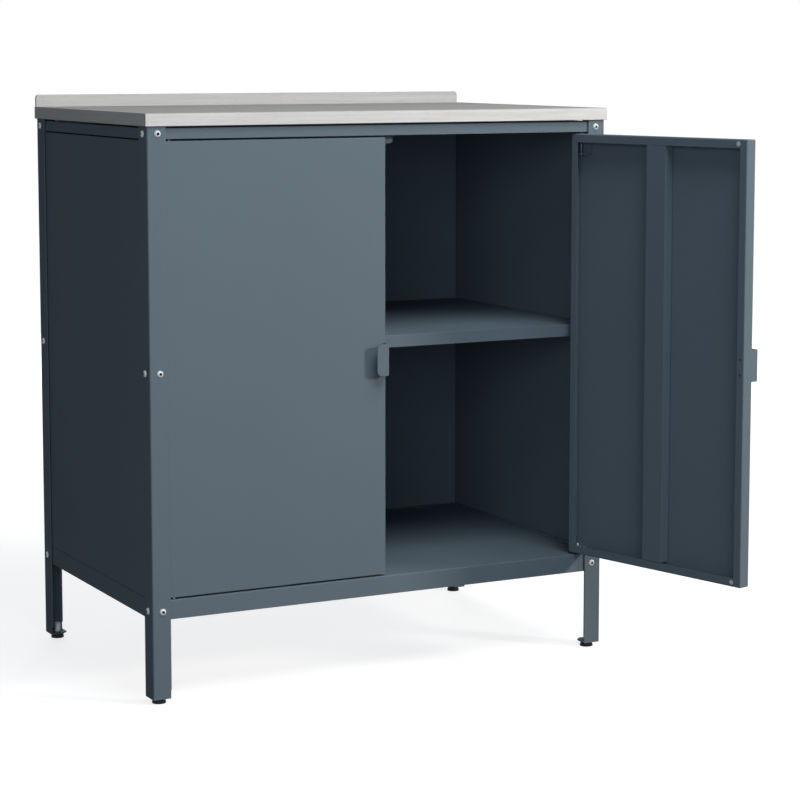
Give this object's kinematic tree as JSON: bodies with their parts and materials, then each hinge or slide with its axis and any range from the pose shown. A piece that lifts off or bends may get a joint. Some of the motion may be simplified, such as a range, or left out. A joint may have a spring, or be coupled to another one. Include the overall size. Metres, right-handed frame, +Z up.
{
  "type": "steel storage cabinet",
  "caption": "Free-standing steel cabinet with hinged doors, an inner shelf, a laminate worktop with a rear upstand, and levelling feet.",
  "frame": {"origin": "on the floor, midway between the four feet, with the feet wound in", "axes": "+Z up, the doors face -Y, +X to the right seen from the front"},
  "size_m": [0.8741, 0.851, 0.92],
  "materials": {
    "paint": "satin grey-blue powder coat",
    "zinc": "zinc plated",
    "black_plastic": "matt",
    "laminate": "matt pale wood-grain laminate",
    "nylon": "natural nylon",
    "magnet": "light grey",
    "dark_screw": "blackened"
  },
  "bodies": {
    "cabinet": {"post_front_left": "paint", "post_front_right": "paint", "post_rear_left": "paint", "post_rear_right": "paint", "foot_plates": "paint", "top_rail_front": "paint", "top_rail_rear": "paint", "top_rail_left": "paint", "top_rail_right": "paint", "floor_panel": "paint", "side_panel_left": "paint", "side_panel_right": "paint", "back_panel": "paint", "shelf": "paint", "shelf_support_left": "paint", "shelf_support_right": "paint", "catch_plate": "paint", "foot_nuts": "zinc", "worktop_screws": "zinc", "backsplash_screws": "zinc", "bolts_top": "zinc", "bolts_middle": "zinc", "bolts_bottom": "zinc", "nuts_top": "zinc", "nuts_middle": "zinc", "nuts_bottom": "zinc", "panel_screws": "dark_screw", "worktop": "laminate", "backsplash": "laminate", "worktop_spacers": "nylon", "hinge_bushes": "nylon"},
    "left_door": {"left_door_pan": "paint", "left_door_stiffener": "paint", "left_handle": "paint", "left_handle_screws": "dark_screw", "left_magnets": "magnet", "left_upper_bracket": "paint", "left_lower_bracket": "paint", "left_upper_pin": "zinc", "left_lower_pin": "zinc", "left_pin_clip": "zinc"},
    "right_door": {"right_door_pan": "paint", "right_door_stiffener": "paint", "right_handle": "paint", "right_handle_screws": "dark_screw", "right_magnets": "magnet", "right_upper_bracket": "paint", "right_lower_bracket": "paint", "right_upper_pin": "zinc", "right_lower_pin": "zinc", "right_pin_clip": "zinc"},
    "foot_front_left": {"foot_stem_front_left": "zinc", "foot_pad_front_left": "black_plastic"},
    "foot_front_right": {"foot_stem_front_right": "zinc", "foot_pad_front_right": "black_plastic"},
    "foot_rear_left": {"foot_stem_rear_left": "zinc", "foot_pad_rear_left": "black_plastic"},
    "foot_rear_right": {"foot_stem_rear_right": "zinc", "foot_pad_rear_right": "black_plastic"}
  },
  "joints": [
    {"name": "right_door_hinge", "type": "hinge", "parent": "cabinet", "child": "right_door", "pos_m": [0.3615, -0.2405, 0.5112], "axis": [0, 0, 1], "range_deg": [-104.5, 2]},
    {"name": "left_door_hinge", "type": "hinge", "parent": "cabinet", "child": "left_door", "pos_m": [-0.3615, -0.2405, 0.5112], "axis": [0, 0, -1], "range_deg": [0, 106.5]},
    {"name": "foot_front_left_screw", "type": "slide", "parent": "cabinet", "child": "foot_front_left", "axis": [0, 0, -1], "range_m": [0, 0.008]},
    {"name": "foot_front_right_screw", "type": "slide", "parent": "cabinet", "child": "foot_front_right", "axis": [0, 0, -1], "range_m": [0, 0.008]},
    {"name": "foot_rear_left_screw", "type": "slide", "parent": "cabinet", "child": "foot_rear_left", "axis": [0, 0, -1], "range_m": [0, 0.008]},
    {"name": "foot_rear_right_screw", "type": "slide", "parent": "cabinet", "child": "foot_rear_right", "axis": [0, 0, -1], "range_m": [0, 0.008]}
  ]
}
